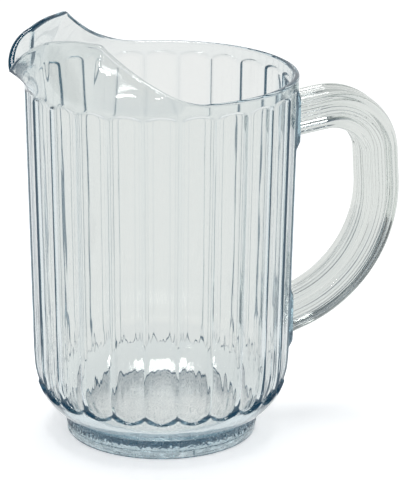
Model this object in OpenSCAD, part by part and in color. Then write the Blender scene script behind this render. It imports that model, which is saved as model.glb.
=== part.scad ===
// Clear fluted beer pitcher with a pinched spout, a ribbed loop handle and a foot ring.
// Millimetres. +Z is up, +X points to the handle and -X to the spout.
// The origin is on the table, under the middle of the pitcher.

/* [Body] */
// Outer radius of the level rim
rim_r = 66; // [62:0.5:70]
// Height of the level rim above the table
rim_z = 181; // [170:1:200]
// Thickness of the wall
wall = 3.2; // [2.6:0.1:3.8]
// Inward lean of the wall from the rim to the corner, in degrees
draft = 1.2; // [0.6:0.1:1.6]
// Radius of the rounded bottom corner
corner_r = 30; // [28:0.5:32]
// Height of the inside floor above the table
floor_z = 9.2; // [8.8:0.1:10]
// Thickness of the floor
floor_t = 3.7; // [3:0.1:4.2]
// Height of the rounding on the edge of the rim
rim_round = 1.2; // [0.8:0.1:1.5]

/* [Flutes] */
// Flutes round the body
flute_count = 24; // [20:2:28]
// Depth of a flute at its middle
flute_depth = 1.5; // [1:0.1:1.8]
// Distance from the level rim down to the tops of the flutes
flute_top_gap = 5; // [4:0.5:7]
// Height of the arch at the top of a flute
flute_top_arch = 3.5; // [2.5:0.5:5]
// Height above the table of the lower ends of the flutes
flute_bottom_z = 22; // [20:0.5:25]
// Height of the rounding at the lower end of a flute
flute_bottom_arch = 7; // [5:0.5:9]

/* [Spout] */
// How far the spout's tip reaches out past the round of the rim
spout_out = 8.4; // [6:0.2:11]
// Radius of the spout's nose, seen from above
nose_r = 17.5; // [15:0.5:19]
// Direction of the lip where the nose ends, in degrees from the line to the handle
nose_end_angle = 20; // [16:1:26]
// Radius of the inward bend between the nose and the flank
nose_bend_r = 8; // [6:0.5:10]
// Direction of the straight flank, in degrees from the line to the handle
flank_angle = 43.5; // [41:0.5:46]
// Height of the ears above the level rim
ear_rise = 22; // [18:0.5:26]
// Distance from the spout's tip back to the ears
ear_back = 36.4; // [33:0.2:40]
// Distance from the middle, towards the handle, at which the rim starts to rise
rise_start = 6; // [2:0.5:10]
// Height of the spout's tip above the level rim
tip_rise = 6; // [4:0.5:9]
// Height of the spout's crest above its tip
crest_rise = 18; // [15:0.5:20]
// Distance from the spout's tip back to the crest
crest_back = 26.4; // [22:0.2:29]
// How late the wall bends towards the lip (1 is at once)
flare_power = 1.6; // [1.3:0.1:2]

/* [Foot] */
// Height of the flat seat on which the foot ring is bonded
seat_z = 9.8; // [9:0.1:11]
// Thickness of the foot ring at its seat
foot_t = 3.8; // [3.2:0.1:4.6]
// Gap between the floor's edge and the foot ring
foot_gap = 0.3; // [0.2:0.05:0.4]
// Inward lean of the foot ring, from the seat to the table
foot_lean = 0.8; // [0.4:0.1:1.2]
// Rounding of the foot ring's lower edges
foot_round = 0.6; // [0.3:0.1:0.8]
// Shallow recesses round the outside of the foot ring
recess_count = 4; // [2:1:6]
// Direction of the first recess, in degrees from the line to the handle
recess_turn = 90; // [0:15:90]
// Height of the recesses above the table
recess_z = 1.2; // [0.9:0.1:2]
// Width of a recess
recess_w = 8; // [6:0.5:10]
// Height of a recess
recess_h = 2.4; // [1.5:0.1:3.5]
// Depth of a recess
recess_depth = 0.9; // [0.5:0.1:1.2]

/* [Handle] */
// Thickness of the handle, from the inside of the loop to the outside
handle_t = 19.5; // [18:0.5:21]
// Width of the handle
handle_w = 20; // [18:0.5:21]
// Radius of a rib along the handle
rib_r = 4.2; // [3.8:0.1:4.6]
// Distance from the level rim down to the middle of the handle's upper end
handle_drop = 25; // [22:0.5:30]
// Upward slope of the top limb, in degrees
top_limb_angle = 8.8; // [6:0.2:11]
// Length of the straight top limb, from the pad
top_limb_l = 15; // [12:0.5:18]
// Radius of the upper bend
upper_bend_r = 24.5; // [21:0.5:28]
// Outward lean of the grip, in degrees from upright
grip_lean = 3.8; // [2:0.2:5]
// Length of the straight grip
grip_l = 14.8; // [10:0.2:18]
// Radius of the lower bend
lower_bend_r = 64.3; // [60:0.5:68]
// Slope of the lower limb, in degrees from level
lower_limb_angle = 21; // [18:0.5:24]
// How far each pad stands out from the wall
pad_proud = 0.6; // [0.4:0.1:1]
// Room round the handle's end on a pad
pad_margin = 1.6; // [1:0.1:2.5]
// Height over which a pad's upper and lower edges run back to the wall
pad_slope = 2.2; // [1.5:0.1:3]

/* [Hidden] */
// Round shapes are drawn with this many sides
$fn = 96;

// The outline of the wall, as a radius at each height
inner_corner_r = corner_r - wall;
corner_z = floor_z + inner_corner_r;
corner_mid_r = rim_r - (rim_z - corner_z) * tan(draft) - corner_r;
function wall_r(z) =
    z >= corner_z
    ? rim_r - (rim_z - z) * tan(draft)
    : corner_mid_r + sqrt(corner_r * corner_r - (corner_z - z) * (corner_z - z));

// Depth of the flutes at a place across the flute (-0.5 to 0.5) and a height
flute_top_z = rim_z - flute_top_gap;
function end_ramp(z) =
    pow(max(0, (z - flute_top_z + flute_top_arch) / flute_top_arch), 2)
    + pow(max(0, (flute_bottom_z + flute_bottom_arch - z) / flute_bottom_arch), 2);
function flute(u, z) = flute_depth * max(0, 1 - 4 * u * u - end_ramp(z));

// Places of the spout's tip, ears and crest, as distances from the middle of the pitcher
spout_reach = rim_r + spout_out;
ear_x = spout_reach - ear_back;
crest_x = spout_reach - crest_back;

// The lip seen from above, from the tip of the spout to the side of the rim:
// nose arc, inward bend, straight flank, outward bend
nose_len = nose_r * (90 - nose_end_angle) * PI / 180;
bend_len = nose_bend_r * (flank_angle - nose_end_angle) * PI / 180;
nose_out = [-spout_reach + nose_r * (1 - sin(nose_end_angle)), nose_r * cos(nose_end_angle)];
bend_out = nose_out + nose_bend_r * [
    sin(flank_angle) - sin(nose_end_angle),
    cos(nose_end_angle) - cos(flank_angle)
];
// The last bend's radius and the flank's length bring the lip to the rim's side, facing the handle
side_bend_r = (rim_r - bend_out[1] + bend_out[0] * tan(flank_angle))
    / ((1 - cos(flank_angle)) - sin(flank_angle) * tan(flank_angle));
flank_len = (-bend_out[0] - side_bend_r * sin(flank_angle)) / cos(flank_angle);
side_len = side_bend_r * flank_angle * PI / 180;
lip_len = nose_len + bend_len + flank_len + side_len;
flank_out = bend_out + flank_len * [cos(flank_angle), sin(flank_angle)];

// Direction of the lip at a length from the tip
function lip_dir(s) =
    s < nose_len ? 90 - s / nose_r * 180 / PI
    : s < nose_len + bend_len ? nose_end_angle + (s - nose_len) / nose_bend_r * 180 / PI
    : s < nose_len + bend_len + flank_len ? flank_angle
    : flank_angle - (s - nose_len - bend_len - flank_len) / side_bend_r * 180 / PI;

// Place of the lip at a length from the tip
function lip_xy(s) =
    let (a = lip_dir(s))
    s < nose_len
    ? [-spout_reach + nose_r * (1 - sin(a)), nose_r * cos(a)]
    : s < nose_len + bend_len
    ? nose_out + nose_bend_r * [sin(a) - sin(nose_end_angle), cos(nose_end_angle) - cos(a)]
    : s < nose_len + bend_len + flank_len
    ? bend_out + (s - nose_len - bend_len) * [cos(a), sin(a)]
    : flank_out + side_bend_r * [sin(flank_angle) - sin(a), cos(a) - cos(flank_angle)];

// Height of the lip: a rise to the ears, then a beak that drops to the tip
function lip_z(x) =
    let (rise = ear_rise * pow(max(0, (rise_start - x) / (rise_start + ear_x)), 2))
    let (along = max(-1, min(1, (-x - crest_x) / (spout_reach - crest_x))))
    let (beak = tip_rise + crest_rise * sqrt(1 - along * along))
    rim_z + (x < 0 ? min(rise, beak) : rise);

// The lip for a column of the body at an angle from the handle:
// outer place, inner place and height
function lip(angle) =
    let (off = 180 - abs(angle))
    let (side = angle < 0 ? -1 : 1)
    off >= 90
    ? let (way = [cos(angle), sin(angle)])
        [rim_r * way, (rim_r - wall) * way, lip_z(rim_r * way[0])]
    : let (s = off / 90 * lip_len)
        let (p = lip_xy(s))
        let (a = lip_dir(s))
        let (q = p + wall * [sin(a), -cos(a)])
        [[p[0], side * p[1]], [q[0], side * q[1]], lip_z(p[0])];

// The handle's path: top limb, upper bend, grip, lower bend, lower limb
handle_top_z = rim_z - handle_drop;
top_pad_x = wall_r(handle_top_z) + pad_proud;
grip_dir = grip_lean - 90;
lower_dir = lower_limb_angle - 180;
top_end = [top_pad_x, handle_top_z] + top_limb_l * [cos(top_limb_angle), sin(top_limb_angle)];
upper_mid = top_end + upper_bend_r * [sin(top_limb_angle), -cos(top_limb_angle)];
grip_start = upper_mid + upper_bend_r * [-sin(grip_dir), cos(grip_dir)];
grip_end = grip_start + grip_l * [cos(grip_dir), sin(grip_dir)];
lower_mid = grip_end + lower_bend_r * [sin(grip_dir), -cos(grip_dir)];
lower_start = lower_mid + lower_bend_r * [-sin(lower_dir), cos(lower_dir)];
// Where the lower limb's middle line meets the pad
lower_pad_x = wall_r(lower_start[1]) + pad_proud;
lower_z = lower_start[1] - (lower_start[0] - lower_pad_x) * tan(lower_limb_angle);

// Columns of the body's surface
steps_per_flute = 4;
columns = flute_count * steps_per_flute;
column_angle = 360 / columns;

// The pads: half heights round the cut ends of the handle, and half an angle in whole columns
tiny = 0.001;
top_pad_h = handle_t / cos(top_limb_angle) / 2 + pad_margin;
lower_pad_h = handle_t / cos(lower_limb_angle) / 2 + pad_margin;
pad_angle = ceil(atan((handle_w / 2 + pad_margin) / lower_pad_x) / column_angle) * column_angle;
function on_pad(angle, z) =
    abs(angle) > pad_angle + tiny ? 0
    : abs(z - handle_top_z) <= top_pad_h + tiny ? top_pad_x / cos(angle)
    : abs(z - lower_z) <= lower_pad_h + tiny ? lower_pad_x / cos(angle)
    : 0;

// Heights of the rows of the body's outer surface
foot_steps = 5;
corner_steps = 2;
arch_steps = 4;
corner_low_z = flute_bottom_z + flute_bottom_arch;
foot_rows = [for (i = [0:foot_steps - 1]) seat_z + (flute_bottom_z - seat_z) * i / foot_steps];
flute_low_rows = [for (i = [0:arch_steps]) corner_low_z - flute_bottom_arch * cos(90 * i / arch_steps)];
corner_rows = [for (i = [1:corner_steps]) corner_low_z + (corner_z - corner_low_z) * i / corner_steps];
flute_high_rows = [for (i = [0:arch_steps]) flute_top_z - flute_top_arch * (1 - sin(90 * i / arch_steps))];
function pad_rows(mid, half) = [
    mid - half - pad_slope,
    mid - half,
    mid + half,
    mid + half + pad_slope
];
// Numbers in rising order, each once
function rising(list) =
    len(list) == 0 ? []
    : let (mid = list[floor(len(list) / 2)])
        concat(
            rising([for (n = list) if (n < mid - tiny) n]),
            [mid],
            rising([for (n = list) if (n > mid + tiny) n])
        );
wall_rows = rising(concat(
    foot_rows,
    flute_low_rows,
    corner_rows,
    pad_rows(lower_z, lower_pad_h),
    pad_rows(handle_top_z, top_pad_h),
    flute_high_rows
));

function column_deg(i) = i * column_angle - 180;
// Place across the flute, -0.5 to 0.5, with a flute's middle on the handle's side
function across(angle) =
    let (t = angle * flute_count / 360)
    t - round(t);

// One point of the outer wall below the spout
function wall_point(angle, z) =
    let (r = max(wall_r(z) - flute(across(angle), z), on_pad(angle, z)))
    [r * cos(angle), r * sin(angle), z];

// One point between the wall's upper edge and the lip, on the outside (0) or the inside (1)
function spout_point(angle, v, inside) =
    let (l = lip(angle))
    let (r = wall_r(flute_top_z) - inside * wall)
    let (foot = r * [cos(angle), sin(angle)])
    let (p = foot + (l[inside] - foot) * pow(v, flare_power))
    [p[0], p[1], flute_top_z + (l[2] - rim_round - flute_top_z) * v];

// One point on the rounded edge of the lip, from outside (0 degrees) to inside (180 degrees)
function edge_point(angle, a) =
    let (l = lip(angle))
    let (p = l[0] + (l[1] - l[0]) * (1 - cos(a)) / 2)
    [p[0], p[1], l[2] - rim_round + rim_round * sin(a)];

// One point of the inside below the spout, round the corner and down to the floor
function inner_corner_point(angle, a) =
    let (r = corner_mid_r + inner_corner_r * cos(a))
    [r * cos(angle), r * sin(angle), corner_z - inner_corner_r * sin(a)];

function ring_point(angle, r, z) = [r * cos(angle), r * sin(angle), z];

// Rings of points from the underside, up the outside, over the lip and down the inside
lip_steps = 6;
edge_steps = 4;
inner_lip_steps = 4;
inner_corner_steps = 6;
underside_z = floor_z - floor_t;
foot_r = wall_r(seat_z);
floor_edge_r = foot_r - foot_t - foot_gap;
degrees = [for (i = [0:columns - 1]) column_deg(i)];
rings = concat(
    [[for (d = degrees) ring_point(d, floor_edge_r, underside_z)]],
    [[for (d = degrees) ring_point(d, floor_edge_r, seat_z)]],
    [for (z = wall_rows) [for (d = degrees) wall_point(d, z)]],
    [for (k = [1:lip_steps]) [for (d = degrees) spout_point(d, k / lip_steps, 0)]],
    [for (k = [1:edge_steps - 1]) [for (d = degrees) edge_point(d, 180 * k / edge_steps)]],
    [for (k = [inner_lip_steps:-1:0]) [for (d = degrees) spout_point(d, k / inner_lip_steps, 1)]],
    [for (k = [0:inner_corner_steps])
        [for (d = degrees) inner_corner_point(d, 90 * k / inner_corner_steps)]]
);
ring_total = len(rings);
under_mid = ring_total * columns;
floor_mid = under_mid + 1;
body_points = concat(
    [for (ring = rings) for (p = ring) p],
    [[0, 0, underside_z], [0, 0, floor_z]]
);
function at(row, i) = row * columns + i % columns;
body_faces = concat(
    [for (i = [0:columns - 1]) [under_mid, at(0, i), at(0, i + 1)]],
    [for (row = [0:ring_total - 2]) for (i = [0:columns - 1])
        [at(row, i), at(row + 1, i), at(row + 1, i + 1)]],
    [for (row = [0:ring_total - 2]) for (i = [0:columns - 1])
        [at(row, i), at(row + 1, i + 1), at(row, i + 1)]],
    [for (i = [0:columns - 1]) [floor_mid, at(ring_total - 1, i + 1), at(ring_total - 1, i)]]
);

module pitcher_body() {
    color([0.86, 0.89, 0.91, 0.5])
        polyhedron(points = body_points, faces = body_faces, convexity = 8);
}

// Ribs round the handle's section, as middles in order, with the thickness first and the width second
rib_t = handle_t / 2 - rib_r;
rib_w = handle_w / 2 - rib_r;
rib_mids = [for (way = [[1, 0], [1, 1], [0, 1], [-1, 1], [-1, 0], [-1, -1], [0, -1], [1, -1]])
    [way[0] * rib_t, way[1] * rib_w]];
rib_total = len(rib_mids);
rib_steps = 5;

// The groove between a rib and the next one
function groove(k) =
    let (here = rib_mids[k % rib_total])
    let (there = rib_mids[(k + 1) % rib_total])
    let (gap = there - here)
    let (half = norm(gap) / 2)
    (here + there) / 2 + sqrt(rib_r * rib_r - half * half) / norm(gap) * [gap[1], -gap[0]];

// One rib's share of the section, from the groove before it up to the groove after it
function rib_points(k) =
    let (mid = rib_mids[k])
    let (from = groove(k + rib_total - 1) - mid)
    let (to = groove(k) - mid)
    let (first = atan2(from[1], from[0]))
    let (turn = (atan2(to[1], to[0]) - first + 360) % 360)
    [for (i = [0:rib_steps - 1])
        mid + rib_r * [cos(first + turn * i / rib_steps), sin(first + turn * i / rib_steps)]];

section = [for (k = [0:rib_total - 1]) for (p = rib_points(k)) p];
section_total = len(section);

// The section set across the path at a place and a direction
function section_ring(place, dir) =
    [for (p = section) [place[0] - p[0] * sin(dir), p[1], place[1] + p[0] * cos(dir)]];

// The same ring slid along the path until it lies flat on a pad
function end_ring(place, dir, pad_x) =
    [for (p = section_ring(place, dir)) p + (pad_x - p[0]) * [1, 0, tan(dir)]];

upper_steps = 14;
lower_steps = 14;
handle_rings = concat(
    [end_ring(top_end, top_limb_angle, top_pad_x)],
    [for (i = [0:upper_steps])
        let (dir = top_limb_angle + (grip_dir - top_limb_angle) * i / upper_steps)
        section_ring(upper_mid + upper_bend_r * [-sin(dir), cos(dir)], dir)],
    [for (i = [0:lower_steps])
        let (dir = grip_dir + (lower_dir - grip_dir) * i / lower_steps)
        section_ring(lower_mid + lower_bend_r * [-sin(dir), cos(dir)], dir)],
    [end_ring(lower_start, lower_dir, lower_pad_x)]
);
handle_ring_total = len(handle_rings);
top_mid = handle_ring_total * section_total;
low_mid = top_mid + 1;
handle_points = concat(
    [for (ring = handle_rings) for (p = ring) p],
    [[top_pad_x, 0, handle_top_z], [lower_pad_x, 0, lower_z]]
);
function on_handle(row, i) = row * section_total + i % section_total;
handle_faces = concat(
    [for (i = [0:section_total - 1]) [top_mid, on_handle(0, i + 1), on_handle(0, i)]],
    [for (row = [0:handle_ring_total - 2]) for (i = [0:section_total - 1])
        [on_handle(row, i), on_handle(row, i + 1), on_handle(row + 1, i + 1)]],
    [for (row = [0:handle_ring_total - 2]) for (i = [0:section_total - 1])
        [on_handle(row, i), on_handle(row + 1, i + 1), on_handle(row + 1, i)]],
    [for (i = [0:section_total - 1])
        [low_mid, on_handle(handle_ring_total - 1, i), on_handle(handle_ring_total - 1, i + 1)]]
);

module handle() {
    color([0.84, 0.87, 0.89, 0.6])
        polyhedron(points = handle_points, faces = handle_faces, convexity = 6);
}

module foot_ring() {
    low_r = foot_r - foot_lean;
    in_r = floor_edge_r + foot_gap;
    color([0.62, 0.71, 0.82, 0.7])
        difference() {
            rotate_extrude()
                polygon([
                    [in_r, foot_round],
                    [in_r + foot_round, 0],
                    [low_r - foot_round, 0],
                    [low_r, foot_round],
                    [foot_r, seat_z],
                    [in_r, seat_z]
                ]);
            for (i = [0:recess_count - 1]) {
                rotate([0, 0, recess_turn + i * 360 / recess_count])
                    translate([low_r - recess_depth, -recess_w / 2, recess_z])
                        cube([recess_depth + foot_lean, recess_w, recess_h]);
            }
        }
}

pitcher_body();
handle();
foot_ring();
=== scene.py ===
# Looks of a clear fluted beer pitcher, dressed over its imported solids
import math
import bpy
from mathutils import Matrix, Vector


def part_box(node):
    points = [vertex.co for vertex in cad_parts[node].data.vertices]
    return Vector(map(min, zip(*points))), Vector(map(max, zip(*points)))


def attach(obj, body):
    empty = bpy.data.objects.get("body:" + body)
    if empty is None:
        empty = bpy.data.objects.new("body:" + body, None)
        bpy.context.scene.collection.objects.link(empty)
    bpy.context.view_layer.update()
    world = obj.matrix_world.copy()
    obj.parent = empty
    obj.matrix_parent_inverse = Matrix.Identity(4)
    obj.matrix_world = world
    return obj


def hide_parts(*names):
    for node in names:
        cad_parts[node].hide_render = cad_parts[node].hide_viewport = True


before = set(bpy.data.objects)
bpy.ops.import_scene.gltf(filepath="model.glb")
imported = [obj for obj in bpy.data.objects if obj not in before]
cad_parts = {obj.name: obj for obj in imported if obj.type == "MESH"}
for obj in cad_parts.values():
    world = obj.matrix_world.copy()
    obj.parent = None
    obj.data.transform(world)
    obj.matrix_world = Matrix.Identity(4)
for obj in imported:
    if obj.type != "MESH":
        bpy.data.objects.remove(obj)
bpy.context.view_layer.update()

mm = 0.001  # sizes are in millimetres and angles in degrees, unless a note says otherwise
scene = bpy.context.scene
scene.view_settings.view_transform = "Standard"


# sRGB hex to linear, for every colour in the file
def linear(hexColour):
    parts = [int(hexColour[i:i + 2], 16) / 255 for i in (1, 3, 5)]
    return [c / 12.92 if c <= 0.04045 else ((c + 0.055) / 1.055) ** 2.4 for c in parts] + [1.0]


# adds a node: a node or a socket among its inputs is linked, any other value is set
def addNode(tree, kind, inputs=(), **settings):
    node = tree.nodes.new(kind)
    for name, value in settings.items():
        setattr(node, name, value)
    for key, value in (inputs.items() if isinstance(inputs, dict) else enumerate(inputs)):
        if isinstance(value, bpy.types.Node):
            value = value.outputs[0]
        if isinstance(value, bpy.types.NodeSocket):
            tree.links.new(value, node.inputs[key])
        else:
            node.inputs[key].default_value = value
    return node


def newMaterial(name):
    material = bpy.data.materials.new(name)
    material.use_nodes = True
    material.node_tree.nodes.clear()
    return material, material.node_tree


def meshPiece(name, points, faces):
    mesh = bpy.data.meshes.new(name)
    mesh.from_pydata([Vector(p) * mm for p in points], [], faces)
    mesh.update()
    mesh.polygons.foreach_set("use_smooth", [True] * len(mesh.polygons))
    piece = bpy.data.objects.new(name, mesh)
    scene.collection.objects.link(piece)
    return piece


# rings of equal length into quads, with a fan to a pole at each end that has one
def stackRings(rings, firstPole=None, lastPole=None):
    count = len(rings[0])
    points = [p for ring in rings for p in ring]
    faces = []
    for row in range(len(rings) - 1):
        low, high = row * count, (row + 1) * count
        for i in range(count):
            j = (i + 1) % count
            faces.append((low + i, low + j, high + j, high + i))
    for pole, row in ((firstPole, 0), (lastPole, len(rings) - 1)):
        if pole is not None:
            points.append(pole)
            middle = len(points) - 1
            for i in range(count):
                edge = (row * count + i, row * count + (i + 1) % count)
                faces.append((middle, *(reversed(edge) if row == 0 else edge)))
    return points, faces


# runs a node tree on a piece and leaves a plain mesh behind
def bakeNodes(piece, tree, values, name):
    modifier = piece.modifiers.new("shape", "NODES")
    modifier.node_group = tree
    for item in tree.interface.items_tree:
        if item.in_out == "INPUT" and item.name in values:
            modifier[item.identifier] = values[item.name]
    bpy.context.view_layer.update()
    evaluated = piece.evaluated_get(bpy.context.evaluated_depsgraph_get())
    mesh = bpy.data.meshes.new_from_object(evaluated)
    mesh.name = name
    bpy.data.objects.remove(piece)
    finished = bpy.data.objects.new(name, mesh)
    scene.collection.objects.link(finished)
    return finished


def newGeometryTree(name, sockets):
    tree = bpy.data.node_groups.new(name, "GeometryNodeTree")
    tree.interface.new_socket("Geometry", in_out="INPUT", socket_type="NodeSocketGeometry")
    tree.interface.new_socket("Geometry", in_out="OUTPUT", socket_type="NodeSocketGeometry")
    for label, kind in sockets:
        tree.interface.new_socket(label, in_out="INPUT", socket_type=kind)
    given = addNode(tree, "NodeGroupInput")
    return tree, {socket.name: socket for socket in given.outputs}


# The camera, at the photograph's angle: the image is 409 by 480
cameraSetup = {
    "azimuth": -16.0,
    "elevation": 17.75,
    "roll": 0.35,
    "distance": 1314.0,
    "focalPixels": 2691.7,
    "imageHeight": 480,
    "aimRight": 20.94,
    "aimUp": 96.52,
    "nearest": 50.0,
}


def makeCamera(setup):
    azimuth, elevation, roll = (math.radians(setup[k]) for k in ("azimuth", "elevation", "roll"))
    level = math.cos(elevation)
    back = Vector((math.sin(azimuth) * level, -math.cos(azimuth) * level, math.sin(elevation)))
    right = Vector((math.cos(azimuth), math.sin(azimuth), 0))
    up = back.cross(right)
    xAxis = math.cos(roll) * right + math.sin(roll) * up
    yAxis = math.cos(roll) * up - math.sin(roll) * right
    aim = right * setup["aimRight"] + Vector((0, 0, setup["aimUp"]))
    place = (aim + back * setup["distance"]) * mm
    data = bpy.data.cameras.new("photoCamera")
    data.lens = setup["focalPixels"] / setup["imageHeight"] * data.sensor_width
    data.clip_start = setup["nearest"] * mm
    camera = bpy.data.objects.new("photoCamera", data)
    camera.matrix_world = Matrix.Translation(place) @ Matrix((xAxis, yAxis, back)).transposed().to_4x4()
    scene.collection.objects.link(camera)
    scene.camera = camera


makeCamera(cameraSetup)
print("camera set")


# Clear polycarbonate, injection moulded and polished: clean gloss, a faint blue toner that shows where the
# eye looks along the wall, and long flow waves left by the mould. A very low blue emission is painted light:
# it lifts the plastic's dark lines to slate blue, and it only shows where the plastic is dark
plasticLook = {
    "roughness": 0.03,
    "ior": 1.585,
    "waveWidth": 4.0,
    "waveStretch": 0.1,  # waves run up the wall
    "waveHeight": 0.04,
    # painted light: a faint blue emission from the plastic itself, no lamp
    "paintedGlow": "#4a90b4",
    "paintedGlowStrength": 0.034,
}

# The body: a trace of warmth in the skin balances the toner, so the wall is neutral face on and slate blue
# along its length. Flow streaks stand low on the wall, the lip is smoother, and the inside floor has the
# mould's spark grain, half frosted. Streaks and grain are drawn coarser than they are, so that they show
bodyLook = plasticLook | {
    "tint": "#f7f5f1",
    "toner": "#54b2cc",
    "tonerDensity": 30.0,
    "streakWidth": 2.0,
    "streakHeight": 0.3,
    "streakTop": 75.0,  # streaks grow from here down to streakLow
    "streakLow": 40.0,
    "streakFade": 28.0,  # and die out from here down to streakEnd
    "streakEnd": 22.0,
    "smoothLow": 168.0,  # waves sink to smoothShare between these
    "smoothTop": 178.0,
    "smoothShare": 0.12,
    "floorLow": 9.0,  # the grained floor lies between these heights
    "floorTop": 12.0,
    "floorReach": 43.3,  # and within this radius
    "floorGrain": 1.4,
    "floorGrainHeight": 0.25,
    "floorFrost": 0.95,
    "floorFull": 0.48,  # share of a grain at which the frost is full
}

# The handle: the same resin in a thick bar with little toner, so it stays a pale, neutral grey
handleLook = plasticLook | {
    "tint": "#eaedea",
    "toner": "#c4d0cf",
    "tonerDensity": 9.0,
    # painted light: the handle's faint grey emission lifts the dark lines in the bar
    "paintedGlow": "#7c8a88",
    "paintedGlowStrength": 0.015,
}

# The foot ring: thick and seen along its length, so the toner looks deep. Tables have scuffed its lower
# strip and rubbed the tops of its stippled grains. Both are drawn coarser than they are, so that they show
# the foot keeps the resin's faint blue emission, which is painted light
footLook = plasticLook | {
    "tint": "#e2ebec",
    "toner": "#78aabc",
    "tonerDensity": 125.0,
    "scuff": 0.35,
    "scuffTop": 4.8,
    "scuffFade": 0.6,
    "scuffGrain": 1.5,
    "scuffStretch": (0.3, 0.3, 1.6),
    "scuffThin": 0.38,
    "scuffFull": 0.58,
    "scuffRoughness": 0.3,
    "stippleGrain": 1.3,
    "grainEdge": 0.4,  # a grain is rubbed from here in to grainTop
    "grainTop": 0.15,
}


# streaks low on the wall, a smoother lip, and the grained, half frosted inside floor
def bodyFinish(tree, look, place, relief):
    height = addNode(tree, "ShaderNodeSeparateXYZ", [place]).outputs["Z"]
    stretched = addNode(tree, "ShaderNodeMapping", {"Vector": place, "Scale": (1, 1, look["waveStretch"])})
    streaks = addNode(tree, "ShaderNodeTexNoise", {
        "Vector": stretched, "Scale": 1 / (look["streakWidth"] * mm), "Detail": 0.0})
    streakShare = addNode(tree, "ShaderNodeMapRange", {
        "Value": height, "From Min": look["streakTop"] * mm, "From Max": look["streakLow"] * mm,
        "To Max": look["streakHeight"] * mm})
    streakFade = addNode(tree, "ShaderNodeMapRange", {
        "Value": height, "From Min": look["streakEnd"] * mm, "From Max": look["streakFade"] * mm})
    streakHere = addNode(tree, "ShaderNodeMath", [streakShare, streakFade], operation="MULTIPLY")
    streaked = addNode(tree, "ShaderNodeMath", [streaks, streakHere], operation="MULTIPLY")
    relief = addNode(tree, "ShaderNodeMath", [relief, streaked], operation="ADD")
    byHeight = addNode(tree, "ShaderNodeMapRange", {
        "Value": height, "From Min": look["smoothLow"] * mm, "From Max": look["smoothTop"] * mm,
        "To Min": 1.0, "To Max": look["smoothShare"]})
    relief = addNode(tree, "ShaderNodeMath", [relief, byHeight], operation="MULTIPLY")
    underTop = addNode(tree, "ShaderNodeMath", [height, look["floorTop"] * mm], operation="LESS_THAN")
    overLow = addNode(tree, "ShaderNodeMath", [height, look["floorLow"] * mm], operation="GREATER_THAN")
    byFloor = addNode(tree, "ShaderNodeMath", [underTop, overLow], operation="MULTIPLY")
    level = addNode(tree, "ShaderNodeVectorMath", [place, (1, 1, 0)], operation="MULTIPLY")
    fromAxis = addNode(tree, "ShaderNodeVectorMath", [level], operation="LENGTH").outputs["Value"]
    within = addNode(tree, "ShaderNodeMath", [fromAxis, look["floorReach"] * mm], operation="LESS_THAN")
    onFloor = addNode(tree, "ShaderNodeMath", [byFloor, within], operation="MULTIPLY")
    grains = addNode(tree, "ShaderNodeTexVoronoi", {
        "Vector": place, "Scale": 1 / (look["floorGrain"] * mm)}, feature="SMOOTH_F1").outputs["Distance"]
    grainy = addNode(tree, "ShaderNodeMath", [grains, look["floorGrainHeight"] * mm], operation="MULTIPLY")
    # a float mix has its factor at 0 and its values at 2 and 3
    relief = addNode(tree, "ShaderNodeMix", {0: onFloor, 2: relief, 3: grainy})
    specks = addNode(tree, "ShaderNodeMath", [onFloor, grains], operation="MULTIPLY")
    clear = addNode(tree, "ShaderNodeMapRange", {
        "Value": specks, "From Max": look["floorFull"], "To Min": 1.0, "To Max": 1 - look["floorFrost"]})
    return relief, {"Transmission Weight": clear}


# scuffs round the lower strip, and grains rubbed at their tops above it
def footFinish(tree, look, place, relief):
    height = addNode(tree, "ShaderNodeSeparateXYZ", [place]).outputs["Z"]
    scuffEnd = look["scuffTop"] - look["scuffFade"]
    low = addNode(tree, "ShaderNodeMapRange", {
        "Value": height, "From Min": look["scuffTop"] * mm, "From Max": scuffEnd * mm})
    drawnOut = addNode(tree, "ShaderNodeMapping", {"Vector": place, "Scale": look["scuffStretch"]})
    scratches = addNode(tree, "ShaderNodeTexNoise", {
        "Vector": drawnOut, "Scale": 1 / (look["scuffGrain"] * mm), "Detail": 2.0})
    rubbed = addNode(tree, "ShaderNodeMapRange", {
        "Value": scratches, "From Min": look["scuffThin"], "From Max": look["scuffFull"]})
    stripWorn = addNode(tree, "ShaderNodeMath", [low, rubbed], operation="MULTIPLY")
    cells = addNode(tree, "ShaderNodeTexVoronoi", {
        "Vector": place, "Scale": 1 / (look["stippleGrain"] * mm)}).outputs["Distance"]
    tops = addNode(tree, "ShaderNodeMapRange", {
        "Value": cells, "From Min": look["grainEdge"], "From Max": look["grainTop"]})
    upper = addNode(tree, "ShaderNodeMath", [1.0, low], operation="SUBTRACT")
    topsWorn = addNode(tree, "ShaderNodeMath", [tops, upper], operation="MULTIPLY")
    worn = addNode(tree, "ShaderNodeMath", [stripWorn, topsWorn], operation="ADD")
    clear = addNode(tree, "ShaderNodeMapRange", {
        "Value": worn, "To Min": 1.0, "To Max": 1 - look["scuff"]})
    rough = addNode(tree, "ShaderNodeMapRange", {
        "Value": worn, "To Min": look["roughness"], "To Max": look["scuffRoughness"]})
    return relief, {"Transmission Weight": clear, "Roughness": rough}


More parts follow.
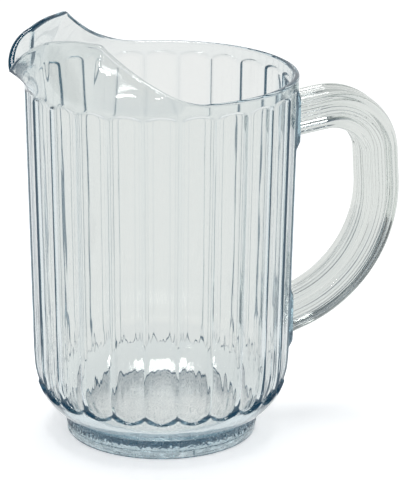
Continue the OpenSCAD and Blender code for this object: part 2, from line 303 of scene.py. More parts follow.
# the resin that all three share; a finish adds a piece's own relief, and links for sockets that vary
def clearPlastic(name, look, finish=None):
    material, tree = newMaterial(name)
    place = addNode(tree, "ShaderNodeTexCoord").outputs["Object"]
    stretched = addNode(tree, "ShaderNodeMapping", {"Vector": place, "Scale": (1, 1, look["waveStretch"])})
    waves = addNode(tree, "ShaderNodeTexNoise", {
        "Vector": stretched, "Scale": 1 / (look["waveWidth"] * mm), "Detail": 1.0})
    relief = addNode(tree, "ShaderNodeMath", [waves, look["waveHeight"] * mm], operation="MULTIPLY")
    varied = {}
    if finish:
        relief, varied = finish(tree, look, place, relief)
    bump = addNode(tree, "ShaderNodeBump", {"Height": relief, "Distance": 1.0, "Strength": 1.0})
    # the emission is painted light: the plastic gives off a faint light of its own, which lifts its dark
    # lines
    surface = addNode(tree, "ShaderNodeBsdfPrincipled", {
        "Base Color": linear(look["tint"]), "Roughness": look["roughness"], "IOR": look["ior"],
        "Transmission Weight": 1.0, "Normal": bump, "Emission Color": linear(look["paintedGlow"]),
        "Emission Strength": look["paintedGlowStrength"]})
    for socket, node in varied.items():
        tree.links.new(node.outputs[0], surface.inputs[socket])
    inside = addNode(tree, "ShaderNodeVolumeAbsorption", {
        "Color": linear(look["toner"]), "Density": look["tonerDensity"]})
    addNode(tree, "ShaderNodeOutputMaterial", {"Surface": surface, "Volume": inside})
    return material


bodyPlastic = clearPlastic("clear polycarbonate, body", bodyLook, bodyFinish)
handlePlastic = clearPlastic("clear polycarbonate, handle", handleLook)
footPlastic = clearPlastic("clear polycarbonate, foot", footLook, footFinish)
print("plastics mixed")


# The body: a turned wall and floor, fluted outside and drawn out to a pinched spout at the lip
bodyLow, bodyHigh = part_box("pitcher_body")
jug = {
    "rimRadius": bodyHigh.y / mm,
    "rimHeight": 181.0,
    "wall": 3.2,
    "draft": 1.2,
    "cornerRadius": 30.0,
    "insideRadius": 29.0,
    "floorHeight": 9.2,
    "underside": bodyLow.z / mm,
    "rimRound": 1.2,
    "seatHeight": 9.8,
    "floorEdge": 43.48,
    "spoutReach": -bodyLow.x / mm,
    "noseRadius": 17.5,
    "noseEnd": 20.0,  # the way the lip runs where the round nose ends
    "noseBend": 8.0,
    "flank": 43.5,  # the way its straight flank runs
    "earRise": 22.0,  # the ears stand this far above the rim, and earBack behind the tip
    "earBack": 36.4,
    "riseStart": 6.0,  # the lip starts to rise this far towards the handle
    "tipRise": 6.0,  # the crest falls from crestBack behind the tip down to this rise
    "crestRise": 18.0,
    "crestBack": 26.4,
    "flarePower": 1.6,  # how late the spout flares on its way up
    "fluteCount": 24,
    "fluteDepth": 1.1,
    "fluteTopGap": 5.0,
    "fluteArch": 3.5,
    "fluteFoot": 22.0,
    "footRamp": 0.8,  # height of the step at a flute's foot, which grows towards the tips by tipSpread
    "tipSpread": 1.6,
    "footCurve": 3.5,
    "tuckTop": 45.0,  # the wall is tucked in by tuckDepth from here down to the step
    "tuckDepth": 1.0,
    "crispness": 4.5,  # power of the hollow across a flute
    "stepsPerFlute": 16,
    "crowding": 0.5,  # how far the steps crowd towards the arrises
    "landRows": 22,
    "footEdgeRows": 28,
    "footEdgeBelow": 1.0,  # fine rows reach this far past the flutes' feet
    "footEdgeAbove": 2.0,
    "cornerRows": 14,
    "wallRows": 40,
    "archRows": 12,
    "lipRows": 26,
    "edgeRows": 10,
    "innerWallRows": 8,
    "innerCornerRows": 24,
    "floorRows": 6,
    "sharpAngle": 50.0,
}
innerCorner = jug["cornerRadius"] - jug["wall"]
cornerHeight = jug["floorHeight"] + innerCorner
lean = math.tan(math.radians(jug["draft"]))
cornerMiddle = jug["rimRadius"] - (jug["rimHeight"] - cornerHeight) * lean - jug["cornerRadius"]
insideTop = jug["floorHeight"] + jug["insideRadius"]
insideMiddle = jug["rimRadius"] - (jug["rimHeight"] - insideTop) * lean - jug["wall"] - jug["insideRadius"]
fluteTop = jug["rimHeight"] - jug["fluteTopGap"]


def wallRadius(z):
    if z >= cornerHeight:
        return jug["rimRadius"] - (jug["rimHeight"] - z) * lean
    return cornerMiddle + math.sqrt(jug["cornerRadius"] ** 2 - (cornerHeight - z) ** 2)


# The lip seen from above, from the tip to the side: nose, inward bend, straight flank, outward bend
noseEnd, flank = math.radians(jug["noseEnd"]), math.radians(jug["flank"])
noseLength = jug["noseRadius"] * (math.pi / 2 - noseEnd)
bendLength = jug["noseBend"] * (flank - noseEnd)


def noseAt(a):
    inward = jug["noseRadius"] * (1 - math.sin(a))
    return Vector((-jug["spoutReach"] + inward, jug["noseRadius"] * math.cos(a)))


noseOut = noseAt(noseEnd)


def bendAt(a):
    step = Vector((math.sin(a) - math.sin(noseEnd), math.cos(noseEnd) - math.cos(a)))
    return noseOut + jug["noseBend"] * step


bendOut = bendAt(flank)
sideBend = ((jug["rimRadius"] - bendOut.y + bendOut.x * math.tan(flank))
            / (1 - math.cos(flank) - math.sin(flank) * math.tan(flank)))
flankLength = (-bendOut.x - sideBend * math.sin(flank)) / math.cos(flank)
flankOut = bendOut + flankLength * Vector((math.cos(flank), math.sin(flank)))
lipLength = noseLength + bendLength + flankLength + sideBend * flank


# place of the lip at a distance along it from the tip, and the way it runs there
def lipPlan(s):
    if s < noseLength:
        a = math.pi / 2 - s / jug["noseRadius"]
        return noseAt(a), a
    s -= noseLength
    if s < bendLength:
        a = noseEnd + s / jug["noseBend"]
        return bendAt(a), a
    s -= bendLength
    if s < flankLength:
        return bendOut + s * Vector((math.cos(flank), math.sin(flank))), flank
    a = flank - (s - flankLength) / sideBend
    return flankOut + sideBend * Vector((math.sin(flank) - math.sin(a), math.cos(a) - math.cos(flank))), a


def lipHeight(x):
    earX = jug["spoutReach"] - jug["earBack"]
    crestX = jug["spoutReach"] - jug["crestBack"]
    rise = jug["earRise"] * max(0, (jug["riseStart"] - x) / (jug["riseStart"] + earX)) ** 2
    if x < 0:
        past = max(0, min(1, (-x - crestX) / jug["crestBack"]))
        rise = min(rise, jug["tipRise"] + jug["crestRise"] * math.sqrt(1 - past * past))
    return jug["rimHeight"] + rise


# outer place, inner place and height of the lip, for a column at an angle from the handle
def lipAt(angle):
    off = math.pi - abs(angle)
    if off >= math.pi / 2:
        way = Vector((math.cos(angle), math.sin(angle)))
        outer, inner = jug["rimRadius"] * way, (jug["rimRadius"] - jug["wall"]) * way
        return outer, inner, lipHeight(outer.x)
    outer, a = lipPlan(off / (math.pi / 2) * lipLength)
    inner = outer + jug["wall"] * Vector((math.sin(a), -math.cos(a)))
    side = -1 if angle < 0 else 1
    return Vector((outer.x, side * outer.y)), Vector((inner.x, side * inner.y)), lipHeight(outer.x)


# The handle's sizes, its path, and the pads on which its ends sit
loop = {
    "thickness": 19.5,
    "width": 20.0,
    "ribRadius": 4.2,
    "reedCount": 3,
    "reedDepth": 0.3,
    "drop": 25.0,
    "topAngle": 8.8,
    "topLength": 15.0,
    "upperBend": 24.5,
    "gripLean": 3.8,
    "gripLength": 14.8,
    "lowerBend": 64.3,
    "lowerAngle": 21.0,
    "padProud": 0.6,
    "padMargin": 0.3,
    "padHalfAngle": 11.25,
    "padFade": 9.0,
    "padSideFade": 3.2,
    "seamGap": 0.04,
    "ribSteps": 24,
    "upperSteps": 56,
    "gripSteps": 8,
    "lowerSteps": 72,
    "sharpAngle": 35.0,
}
topAngle, lowerAngle = math.radians(loop["topAngle"]), math.radians(loop["lowerAngle"])
gripWay = math.radians(loop["gripLean"] - 90)
lowerWay = lowerAngle - math.pi


def along(a):
    return Vector((math.cos(a), math.sin(a)))


def across(a):
    return Vector((-math.sin(a), math.cos(a)))


topHeight = jug["rimHeight"] - loop["drop"]
topPadX = wallRadius(topHeight) + loop["padProud"]
topEnd = Vector((topPadX, topHeight)) + loop["topLength"] * along(topAngle)
upperMiddle = topEnd - loop["upperBend"] * across(topAngle)
gripStart = upperMiddle + loop["upperBend"] * across(gripWay)
gripEnd = gripStart + loop["gripLength"] * along(gripWay)
lowerMiddle = gripEnd - loop["lowerBend"] * across(gripWay)
lowerStart = lowerMiddle + loop["lowerBend"] * across(lowerWay)
lowerPadX = wallRadius(lowerStart.y) + loop["padProud"]
lowHeight = lowerStart.y - (lowerStart.x - lowerPadX) * math.tan(lowerAngle)
pads = [{"x": x, "z": z, "half": loop["thickness"] / math.cos(slope) / 2 + loop["padMargin"]}
        for x, z, slope in ((topPadX, topHeight, topAngle), (lowerPadX, lowHeight, lowerAngle))]


def smoothStep(t):
    t = max(0.0, min(1.0, t))
    return t * t * (3 - 2 * t)


# how much of a pad is at a place on the wall, 0 to 1, and the pad's radius there
def padAt(angle, z):
    best = (0.0, 0.0)
    for pad in pads:
        beyondZ = abs(z - pad["z"]) - pad["half"]
        beyondSide = (abs(angle) - math.radians(loop["padHalfAngle"])) * pad["x"]
        shareZ = smoothStep(1 - max(beyondZ, 0) / loop["padFade"])
        shareSide = smoothStep(1 - max(beyondSide, 0) / loop["padSideFade"])
        share = shareZ * shareSide
        if share > best[0]:
            best = (share, pad["x"] / math.cos(angle))
    return best


# evenly spaced values from the first to the last
def spread(first, last, steps):
    return [first + (last - first) * i / steps for i in range(steps + 1)]


# columns crowd towards the arrises between flutes, so that these stay crisp
def columnAngles():
    steps = jug["stepsPerFlute"]
    angles = []
    for flute in range(jug["fluteCount"]):
        for i in range(steps):
            t = 2 * i / steps - 1
            place = ((1 - jug["crowding"]) * t + jug["crowding"] * math.sin(math.pi / 2 * t)) / 2
            angle = (flute + place) * 2 * math.pi / jug["fluteCount"]
            angles.append((angle + math.pi) % (2 * math.pi) - math.pi)
    return angles


def makeBody():
    angles = columnAngles()
    archStart = fluteTop - jug["fluteArch"]
    landTop = jug["fluteFoot"] - jug["footEdgeBelow"]
    edgeTop = jug["fluteFoot"] + jug["footCurve"] + jug["footEdgeAbove"]
    heights = (spread(jug["seatHeight"], landTop, jug["landRows"])
               + spread(landTop, edgeTop, jug["footEdgeRows"])[1:]
               + spread(edgeTop, cornerHeight, jug["cornerRows"])[1:]
               + spread(cornerHeight, archStart, jug["wallRows"])[1:]
               + spread(archStart, fluteTop, jug["archRows"])[1:])
    lips = [lipAt(a) for a in angles]
    rings, shares = [], []

    def addRing(ring, share=None):
        rings.append(ring)
        shares.extend(share or [0.0] * len(ring))

    def roundRing(radius, z):
        addRing([(radius * math.cos(a), radius * math.sin(a), z) for a in angles])

    for radius in spread(0, jug["floorEdge"], jug["floorRows"])[1:]:
        roundRing(radius, jug["underside"])
    roundRing(jug["floorEdge"], jug["seatHeight"])
    for z in heights:
        ring, share = [], []
        for a in angles:
            onPad, padRadius = padAt(a, z)
            radius = wallRadius(z) + onPad * (padRadius - wallRadius(z))
            ring.append((radius * math.cos(a), radius * math.sin(a), z))
            share.append(1 - onPad)
        addRing(ring, share)

    def spoutRing(v, inside):
        radius = wallRadius(fluteTop) - inside * jug["wall"]
        bent = v ** jug["flarePower"]
        ring = []
        for a, lip in zip(angles, lips):
            foot = radius * Vector((math.cos(a), math.sin(a)))
            p = foot + (lip[inside] - foot) * bent
            ring.append((p.x, p.y, fluteTop + (lip[2] - jug["rimRound"] - fluteTop) * v))
        addRing(ring)

    for v in spread(0, 1, jug["lipRows"])[1:]:
        spoutRing(v, 0)
    for turn in spread(0, math.pi, jug["edgeRows"])[1:-1]:
        ring = []
        for outer, inner, z in lips:
            p = outer + (inner - outer) * (1 - math.cos(turn)) / 2
            ring.append((p.x, p.y, z - jug["rimRound"] * (1 - math.sin(turn))))
        addRing(ring)
    for v in spread(1, 0, jug["lipRows"]):
        spoutRing(v, 1)
    innerTop = wallRadius(fluteTop) - jug["wall"]
    innerLow = insideMiddle + jug["insideRadius"]
    for t in spread(0, 1, jug["innerWallRows"])[1:-1]:
        roundRing(innerTop + (innerLow - innerTop) * t, fluteTop + (insideTop - fluteTop) * t)
    for a in spread(0, math.pi / 2, jug["innerCornerRows"]):
        out, down = jug["insideRadius"] * math.cos(a), jug["insideRadius"] * math.sin(a)
        roundRing(insideMiddle + out, insideTop - down)
    for radius in spread(insideMiddle, 0, jug["floorRows"])[1:-1]:
        roundRing(radius, jug["floorHeight"])
    points, faces = stackRings(rings, (0, 0, jug["underside"]), (0, 0, jug["floorHeight"]))
    piece = meshPiece("bodyShell", points, faces)
    attribute = piece.data.attributes.new("fluteShare", "FLOAT", "POINT")
    attribute.data.foreach_set("value", shares + [0.0, 0.0])  # with the two poles
    return piece


# carves the flutes: each is an even hollow with crisp arrises beside it, an arched top and a scalloped foot,
# where the wall steps out again on a ramp that grows towards the tips
def fluteTree():
    tree, given = newGeometryTree("flutes round the wall", [
        ("Flute Count", "NodeSocketFloat"), ("Flute Depth", "NodeSocketFloat"),
        ("Top Height", "NodeSocketFloat"), ("Top Arch", "NodeSocketFloat"),
        ("Bottom Height", "NodeSocketFloat"), ("Bottom Ramp", "NodeSocketFloat"),
        ("Bottom Curve", "NodeSocketFloat"), ("Tip Spread", "NodeSocketFloat"),
        ("Tuck Top", "NodeSocketFloat"), ("Tuck Depth", "NodeSocketFloat"),
        ("Crispness", "NodeSocketFloat"), ("Material", "NodeSocketMaterial")])
    split = addNode(tree, "ShaderNodeSeparateXYZ", [addNode(tree, "GeometryNodeInputPosition")]).outputs
    turn = addNode(tree, "ShaderNodeMath", [split["Y"], split["X"]], operation="ARCTAN2")
    perTurn = addNode(tree, "ShaderNodeMath", [given["Flute Count"], 2 * math.pi], operation="DIVIDE")
    fluteTurn = addNode(tree, "ShaderNodeMath", [turn, perTurn], operation="MULTIPLY")
    nearest = addNode(tree, "ShaderNodeMath", [fluteTurn], operation="ROUND")
    offMiddle = addNode(tree, "ShaderNodeMath", [fluteTurn, nearest], operation="SUBTRACT")
    fromMiddle = addNode(tree, "ShaderNodeMath", [offMiddle, 2.0], operation="MULTIPLY")
    squared = addNode(tree, "ShaderNodeMath", [fromMiddle, 2.0], operation="POWER")
    archStart = addNode(tree, "ShaderNodeMath", [
        given["Top Height"], given["Top Arch"]], operation="SUBTRACT")
    pastTop = addNode(tree, "ShaderNodeMath", [split["Z"], archStart], operation="SUBTRACT")
    above = addNode(tree, "ShaderNodeMath", [pastTop, given["Top Arch"]], operation="DIVIDE")
    risen = addNode(tree, "ShaderNodeMath", [above, 0.0], operation="MAXIMUM")
    arched = addNode(tree, "ShaderNodeMath", [risen, 2.0], operation="POWER")
    edge = addNode(tree, "ShaderNodeMath", [squared, arched], operation="ADD")
    power = addNode(tree, "ShaderNodeMath", [given["Crispness"], 2.0], operation="DIVIDE")
    raised = addNode(tree, "ShaderNodeMath", [edge, power], operation="POWER")
    hollow = addNode(tree, "ShaderNodeMath", [1.0, raised], operation="SUBTRACT")
    carved = addNode(tree, "ShaderNodeMath", [hollow, 0.0], operation="MAXIMUM")
    depth = addNode(tree, "ShaderNodeMath", [carved, given["Flute Depth"]], operation="MULTIPLY")
    tuck = addNode(tree, "ShaderNodeMapRange", {
        "Value": split["Z"], "From Min": given["Tuck Top"], "From Max": given["Bottom Height"],
        "To Max": given["Tuck Depth"]}, interpolation_type="SMOOTHSTEP")
    depth = addNode(tree, "ShaderNodeMath", [depth, tuck], operation="ADD")
    footRise = addNode(tree, "ShaderNodeMath", [squared, given["Bottom Curve"]], operation="MULTIPLY")
    footEdge = addNode(tree, "ShaderNodeMath", [footRise, given["Bottom Height"]], operation="ADD")
    overFoot = addNode(tree, "ShaderNodeMath", [split["Z"], footEdge], operation="SUBTRACT")
    nearTip = addNode(tree, "ShaderNodeMath", [squared, 2.0], operation="POWER")
    widened = addNode(tree, "ShaderNodeMath", [nearTip, given["Tip Spread"], 1.0], operation="MULTIPLY_ADD")
    ramp = addNode(tree, "ShaderNodeMath", [widened, given["Bottom Ramp"]], operation="MULTIPLY")
    inside = addNode(tree, "ShaderNodeMapRange", {
        "Value": overFoot, "From Max": ramp}, interpolation_type="SMOOTHSTEP")
    depth = addNode(tree, "ShaderNodeMath", [depth, inside], operation="MULTIPLY")
    share = addNode(tree, "GeometryNodeInputNamedAttribute", {"Name": "fluteShare"}, data_type="FLOAT")
    depth = addNode(tree, "ShaderNodeMath", [depth, share], operation="MULTIPLY")
    flat = addNode(tree, "ShaderNodeCombineXYZ", {"X": split["X"], "Y": split["Y"]})
    outward = addNode(tree, "ShaderNodeVectorMath", [flat], operation="NORMALIZE")
    back = addNode(tree, "ShaderNodeMath", [depth, -1.0], operation="MULTIPLY")
    inward = addNode(tree, "ShaderNodeVectorMath", {0: outward, "Scale": back}, operation="SCALE")
    moved = addNode(tree, "GeometryNodeSetPosition", {"Geometry": given["Geometry"], "Offset": inward})
    whole = addNode(tree, "GeometryNodeRealizeInstances", [moved])
    painted = addNode(tree, "GeometryNodeSetMaterial", {"Geometry": whole, "Material": given["Material"]})
    addNode(tree, "NodeGroupOutput", [painted])
    return tree


body = bakeNodes(makeBody(), fluteTree(), {
    "Flute Count": float(jug["fluteCount"]),
    "Flute Depth": jug["fluteDepth"] * mm,
    "Top Height": fluteTop * mm,
    "Top Arch": jug["fluteArch"] * mm,
    "Bottom Height": jug["fluteFoot"] * mm,
    "Bottom Ramp": jug["footRamp"] * mm,
    "Bottom Curve": jug["footCurve"] * mm,
    "Tip Spread": jug["tipSpread"],
    "Tuck Top": jug["tuckTop"] * mm,
    "Tuck Depth": jug["tuckDepth"] * mm,
    "Crispness": jug["crispness"],
    "Material": bodyPlastic,
}, "fluted_body")
body.data.set_sharp_from_angle(angle=math.radians(jug["sharpAngle"]))
print("body made,", len(body.data.polygons), "faces")


# The handle's section: eight round ribs, each with fine reeds along it
def ribSection():
    ribT = loop["thickness"] / 2 - loop["ribRadius"]
    ribW = loop["width"] / 2 - loop["ribRadius"]
    ways = ((1, 0), (1, 1), (0, 1), (-1, 1), (-1, 0), (-1, -1), (0, -1), (1, -1))
    middles = [Vector((t * ribT, w * ribW)) for t, w in ways]
    grooves = []
    for k, here in enumerate(middles):
        gap = middles[(k + 1) % len(middles)] - here
        reach = math.sqrt(loop["ribRadius"] ** 2 - (gap.length / 2) ** 2)
        grooves.append(here + gap / 2 + reach / gap.length * Vector((gap.y, -gap.x)))
    points = []
    for k, middle in enumerate(middles):
        first, last = grooves[k - 1] - middle, grooves[k] - middle
        start = math.atan2(first.y, first.x)
        turn = (math.atan2(last.y, last.x) - start) % (2 * math.pi)
        for i in range(loop["ribSteps"]):
            share = i / loop["ribSteps"]
            reed = 1 - abs(math.sin(math.pi * loop["reedCount"] * share))
            radius = loop["ribRadius"] - loop["reedDepth"] * reed
            points.append(middle + radius * along(start + turn * share))
    return points


def polyCurve(name, points, cyclic):
    data = bpy.data.curves.new(name, "CURVE")
    data.dimensions = "3D"
    line = data.splines.new("POLY")
    line.points.add(len(points) - 1)
    for point, place in zip(line.points, points):
        point.co = (*(Vector(place) * mm), 1)
    line.use_cyclic_u = cyclic
    curve = bpy.data.objects.new(name, data)
    scene.collection.objects.link(curve)
    return curve


def handlePath():
    path = [Vector((topPadX, topHeight))]
    for a in spread(topAngle, gripWay, loop["upperSteps"]):
        path.append(upperMiddle + loop["upperBend"] * across(a))
    for t in spread(0, 1, loop["gripSteps"])[1:-1]:
        path.append(gripStart.lerp(gripEnd, t))
    for a in spread(gripWay, lowerWay, loop["lowerSteps"]):
        path.append(lowerMiddle + loop["lowerBend"] * across(a))
    path.append(Vector((lowerPadX, lowHeight)))
    return [(p.x, 0, p.y) for p in path]


# sweeps the section along the path, then slides each end flat onto its pad
def handleTree():
    tree, given = newGeometryTree("ribs along the handle", [
        ("Section", "NodeSocketObject"), ("Material", "NodeSocketMaterial"),
        ("Top Pad", "NodeSocketFloat"), ("Top Slope", "NodeSocketFloat"),
        ("Lower Pad", "NodeSocketFloat"), ("Lower Slope", "NodeSocketFloat")])
    section = addNode(tree, "GeometryNodeObjectInfo", {"Object": given["Section"]}).outputs["Geometry"]
    upright = addNode(tree, "GeometryNodeSetCurveNormal", {
        "Curve": given["Geometry"], "Normal": (0, 1, 0)}, mode="FREE")
    factor = addNode(tree, "GeometryNodeSplineParameter").outputs["Factor"]
    kept = addNode(tree, "GeometryNodeStoreNamedAttribute", {
        "Geometry": upright, "Name": "pathShare", "Value": factor}, data_type="FLOAT", domain="POINT")
    tube = addNode(tree, "GeometryNodeCurveToMesh", {
        "Curve": kept, "Profile Curve": section, "Fill Caps": True})
    share = addNode(tree, "GeometryNodeInputNamedAttribute", {"Name": "pathShare"}, data_type="FLOAT")
    split = addNode(tree, "ShaderNodeSeparateXYZ", [addNode(tree, "GeometryNodeInputPosition")]).outputs
    nearEnd = 1e-6  # a share of the path this close to 0 or 1 is an end
    atTop = addNode(tree, "ShaderNodeMath", [share, nearEnd], operation="LESS_THAN")
    atFoot = addNode(tree, "ShaderNodeMath", [share, 1 - nearEnd], operation="GREATER_THAN")
    for atEnd, end in ((atTop, "Top"), (atFoot, "Lower")):
        slide = addNode(tree, "ShaderNodeMath", [given[end + " Pad"], split["X"]], operation="SUBTRACT")
        rise = addNode(tree, "ShaderNodeMath", [slide, given[end + " Slope"]], operation="MULTIPLY")
        offset = addNode(tree, "ShaderNodeCombineXYZ", {"X": slide, "Z": rise})
        tube = addNode(tree, "GeometryNodeSetPosition", {
            "Geometry": tube, "Selection": atEnd, "Offset": offset})
    whole = addNode(tree, "GeometryNodeRealizeInstances", [tube])
    painted = addNode(tree, "GeometryNodeSetMaterial", {"Geometry": whole, "Material": given["Material"]})
    addNode(tree, "NodeGroupOutput", [painted])
    return tree


sectionCurve = polyCurve("handleSection", [(p.x, p.y, 0) for p in ribSection()], True)
handle = bakeNodes(polyCurve("handlePath", handlePath(), False), handleTree(), {
    "Section": sectionCurve,
    "Top Pad": (topPadX + loop["seamGap"]) * mm,
    "Top Slope": math.tan(topAngle),
    "Lower Pad": (lowerPadX + loop["seamGap"]) * mm,
    "Lower Slope": math.tan(lowerAngle),
    "Material": handlePlastic,
}, "ribbed_handle")
bpy.data.objects.remove(sectionCurve)
handle.data.polygons.foreach_set("use_smooth", [True] * len(handle.data.polygons))
handle.data.set_sharp_from_angle(angle=math.radians(loop["sharpAngle"]))
print("handle made,", len(handle.data.polygons), "faces")


# The foot ring: a turned ring with shallow recesses, two fine lines and a stipple round its upper half
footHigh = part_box("foot_ring")[1]
footRing = {
    "radius": footHigh.x / mm,
    "height": footHigh.z / mm,
    "lean": 0.8,
    "thickness": 3.8,
    "round": 0.6,
    "recessCount": 4,
    "recessWidth": 8.0,
    "recessLow": 1.2,
    "recessHeight": 2.4,
    "recessDepth": 0.9,
    "lines": (1.9, 4.3),  # heights of the two fine lines
    "lineHalf": 0.3,
    "lineDepth": 0.45,
    "stippleLow": 5.0,
    "stippleGap": 0.5,  # plain strip over the stipple
    "grain": footLook["stippleGrain"],
    "grainHeight": 0.9,
    "seamGap": 0.04,
    "columns": 900,
    "stripRows": 2,
    "stippleRows": 18,
    "roundRows": 5,
    "innerRows": 6,
    "recessEdge": 0.08,  # half the height in which a recess's edge falls away
    "topEdge": 0.1,
    "sharpAngle": 40.0,
}


def makeFoot():
    lowRadius = footRing["radius"] - footRing["lean"]
    inRadius = footRing["radius"] - footRing["thickness"]
    top = footRing["height"] - footRing["seamGap"]
    recessLow = footRing["recessLow"]
    recessTop = recessLow + footRing["recessHeight"]
    corner, edge, half = footRing["round"], footRing["recessEdge"], footRing["lineHalf"]
    lowLine, highLine = footRing["lines"]
    strips = [(corner, recessLow - edge), (recessLow + edge, lowLine - half), (lowLine, lowLine),
              (lowLine + half, recessTop - edge), (recessTop + edge, highLine - half), (highLine, highLine),
              (highLine + half, footRing["stippleLow"])]
    heights = []
    for low, high in strips:
        heights += [low] if low == high else spread(low, high, footRing["stripRows"])
    heights += spread(footRing["stippleLow"], top - footRing["topEdge"], footRing["stippleRows"])[1:]
    angles = [2 * math.pi * (i + 0.5) / footRing["columns"] for i in range(footRing["columns"])]
    rings, shares = [], []

    def inRecess(angle, z):
        step = 2 * math.pi / footRing["recessCount"]
        off = (angle + step / 2) % step - step / 2
        return recessLow < z < recessTop and abs(off) * lowRadius < footRing["recessWidth"] / 2

    def addRing(radius, z, share=0.0):
        rings.append([(radius * math.cos(a), radius * math.sin(a), z) for a in angles])
        shares.extend([share] * len(angles))

    for turn in spread(0, math.pi / 2, footRing["roundRows"]):
        addRing(lowRadius - corner * (1 - math.sin(turn)), corner * (1 - math.cos(turn)))
    for z in heights[1:]:
        radius = lowRadius + footRing["lean"] * z / footRing["height"]
        if z in footRing["lines"]:
            radius -= footRing["lineDepth"]
        rings.append([])
        for a in angles:
            r = (lowRadius - footRing["recessDepth"]) if inRecess(a, z) else radius
            rings[-1].append((r * math.cos(a), r * math.sin(a), z))
        inBand = footRing["stippleLow"] < z < top - footRing["stippleGap"]
        shares.extend([1.0 if inBand else 0.0] * len(angles))
    addRing(footRing["radius"], top)
    addRing(inRadius, top)
    for z in spread(top, corner, footRing["innerRows"])[1:]:
        addRing(inRadius, z)
    for turn in spread(0, math.pi / 2, footRing["roundRows"])[1:]:
        addRing(inRadius + corner * (1 - math.cos(turn)), corner * (1 - math.sin(turn)))
    points, faces = stackRings(rings)
    count = len(angles)
    last = (len(rings) - 1) * count
    for i in range(count):  # closes the ring's section
        j = (i + 1) % count
        faces.append((last + i, last + j, j, i))
    piece = meshPiece("footShell", points, faces)
    attribute = piece.data.attributes.new("stippleShare", "FLOAT", "POINT")
    attribute.data.foreach_set("value", shares)
    return piece


# raises round grains where the band is stippled, half above its surface and half below; they are drawn
# coarser than they are, so that they show
def stippleTree():
    tree, given = newGeometryTree("stipple round the foot", [
        ("Grain", "NodeSocketFloat"), ("Grain Height", "NodeSocketFloat"),
        ("Material", "NodeSocketMaterial")])
    scale = addNode(tree, "ShaderNodeMath", [1.0, given["Grain"]], operation="DIVIDE")
    cells = addNode(tree, "ShaderNodeTexVoronoi", {
        "Vector": addNode(tree, "GeometryNodeInputPosition"), "Scale": scale})
    squared = addNode(tree, "ShaderNodeMath", [cells.outputs["Distance"], 2.0], operation="POWER")
    dome = addNode(tree, "ShaderNodeMath", [0.5, squared], operation="SUBTRACT")
    tall = addNode(tree, "ShaderNodeMath", [dome, given["Grain Height"]], operation="MULTIPLY")
    share = addNode(tree, "GeometryNodeInputNamedAttribute", {"Name": "stippleShare"}, data_type="FLOAT")
    height = addNode(tree, "ShaderNodeMath", [tall, share], operation="MULTIPLY")
    outward = addNode(tree, "GeometryNodeInputNormal")
    offset = addNode(tree, "ShaderNodeVectorMath", {0: outward, "Scale": height}, operation="SCALE")
    moved = addNode(tree, "GeometryNodeSetPosition", {"Geometry": given["Geometry"], "Offset": offset})
    whole = addNode(tree, "GeometryNodeRealizeInstances", [moved])
    painted = addNode(tree, "GeometryNodeSetMaterial", {"Geometry": whole, "Material": given["Material"]})
    addNode(tree, "NodeGroupOutput", [painted])
    return tree


foot = bakeNodes(makeFoot(), stippleTree(), {
    "Grain": footRing["grain"] * mm,
    "Grain Height": footRing["grainHeight"] * mm,
    "Material": footPlastic,
}, "stippled_foot")
foot.data.set_sharp_from_angle(angle=math.radians(footRing["sharpAngle"]))
print("foot made,", len(foot.data.polygons), "faces")


# The floor and the light, in metres: a white sweep for the eye, and a room that the plastic shows by bending
# its light, pale grey round about, darker overhead, with a slate card behind the camera and a dark one beyond
# the spout. A strip lamp gives the spout its long highlight
stageLook = {
    "floorSize": 6.0,
    "floorColour": "#f4f4f4",
    "floorLift": 0.56,  # white added for the camera alone, over the lit paper
    "floorSeen": 0.95,  # white that the plastic shows
    "skyLight": 0.8,  # the room's light on matte surfaces
    "roomColour": "#f4f5f5",
    "ceilingColour": "#3c474f",
    "ceilingStart": 0.4,  # height of the view at which the ceiling starts to show
    "ceilingEnd": 0.8,
}
cards = {  # each stands in the way it faces, and shades off from end to start
    "front": {"colour": "#667b93", "facing": (-0.276, -0.961, 0.0), "start": 0.35, "end": 0.8},
    "side": {"colour": "#20262c", "facing": (-0.866, 0.5, 0.05), "start": 0.76, "end": 0.86},
}
lamps = {
    "overhead": {"place": (0.0, 0.1, 1.6), "size": (0.8, 0.8), "roll": 0.0, "power": 16.0},
    "spoutStrip": {"place": (-0.97, -1.12, 1.6), "size": (0.7, 0.03), "roll": 60.0, "power": 2.1},
}


def makeFloor(look):
    half = look["floorSize"] / 2 / mm
    corners = [(-half, -half, 0), (half, -half, 0), (half, half, 0), (-half, half, 0)]
    floor = meshPiece("studio_floor", corners, [(0, 1, 2, 3)])
    material, tree = newMaterial("white paper sweep")
    rays = addNode(tree, "ShaderNodeLightPath").outputs
    matte = addNode(tree, "ShaderNodeBsdfDiffuse", {"Color": linear(look["floorColour"])})
    shown = addNode(tree, "ShaderNodeMath", [rays["Is Camera Ray"], look["floorLift"]], operation="MULTIPLY")
    lift = addNode(tree, "ShaderNodeEmission", {"Color": (1, 1, 1, 1), "Strength": shown})
    both = addNode(tree, "ShaderNodeAddShader", [matte, lift])
    # rays that the plastic bends or mirrors see an even white
    bent = addNode(tree, "ShaderNodeMath", [
        rays["Is Glossy Ray"], rays["Is Transmission Ray"]], operation="MAXIMUM")
    bent = addNode(tree, "ShaderNodeMath", [
        bent, rays["Diffuse Depth"]], operation="SUBTRACT", use_clamp=True)
    seen = addNode(tree, "ShaderNodeEmission", {"Color": (1, 1, 1, 1), "Strength": look["floorSeen"]})
    sweep = addNode(tree, "ShaderNodeMixShader", [bent, both, seen])
    addNode(tree, "ShaderNodeOutputMaterial", {"Surface": sweep})
    floor.data.materials.append(material)


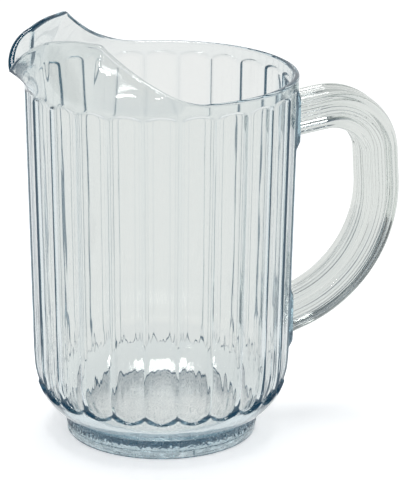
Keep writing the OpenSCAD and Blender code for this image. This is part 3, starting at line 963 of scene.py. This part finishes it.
def makeWorld(look, cards):
    world = bpy.data.worlds.new("studio")
    scene.world = world
    world.use_nodes = True
    tree = world.node_tree
    tree.nodes.clear()
    rays = addNode(tree, "ShaderNodeLightPath").outputs
    way = addNode(tree, "ShaderNodeTexCoord").outputs["Generated"]
    height = addNode(tree, "ShaderNodeSeparateXYZ", [way]).outputs["Z"]
    overhead = addNode(tree, "ShaderNodeMapRange", {
        "Value": height, "From Min": look["ceilingStart"], "From Max": look["ceilingEnd"]},
        interpolation_type="SMOOTHSTEP")
    # a colour mix has its factor at 0, its colours at 6 and 7, and its result at 2
    room = addNode(tree, "ShaderNodeMix", {
        0: overhead, 6: linear(look["roomColour"]), 7: linear(look["ceilingColour"])}, data_type="RGBA")
    for card in cards.values():
        facing = addNode(tree, "ShaderNodeVectorMath", [way, card["facing"]], operation="DOT_PRODUCT")
        share = addNode(tree, "ShaderNodeMapRange", {
            "Value": facing.outputs["Value"], "From Min": card["start"], "From Max": card["end"]},
            interpolation_type="SMOOTHSTEP")
        room = addNode(tree, "ShaderNodeMix", {
            0: share, 6: room.outputs[2], 7: linear(card["colour"])}, data_type="RGBA")
    shown = addNode(tree, "ShaderNodeMix", {
        0: rays["Is Camera Ray"], 6: room.outputs[2], 7: (1, 1, 1, 1)}, data_type="RGBA")
    level = addNode(tree, "ShaderNodeMapRange", {
        "Value": rays["Is Diffuse Ray"], "To Min": 1.0, "To Max": look["skyLight"]})
    sky = addNode(tree, "ShaderNodeBackground", {"Color": shown.outputs[2], "Strength": level})
    addNode(tree, "ShaderNodeOutputWorld", {"Surface": sky})


def makeLamp(name, lamp):
    data = bpy.data.lights.new(name, "AREA")
    data.shape = "RECTANGLE"
    data.size, data.size_y = lamp["size"]
    data.energy = lamp["power"]
    light = bpy.data.objects.new(name, data)
    place = Vector(lamp["place"])
    facing = place.to_track_quat("Z", "Y").to_matrix().to_4x4()
    roll = Matrix.Rotation(math.radians(lamp["roll"]), 4, "Z")
    light.matrix_world = Matrix.Translation(place) @ facing @ roll
    scene.collection.objects.link(light)


makeFloor(stageLook)
makeWorld(stageLook, cards)
for lampName, lamp in lamps.items():
    makeLamp(lampName, lamp)
print("stage set")

for piece, node, slot in ((body, "pitcher_body", "clear_body"), (handle, "handle", "clear_handle"),
                          (foot, "foot_ring", "stippled_foot")):
    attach(piece, "root")
    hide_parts(node)

print("pieces dressed")
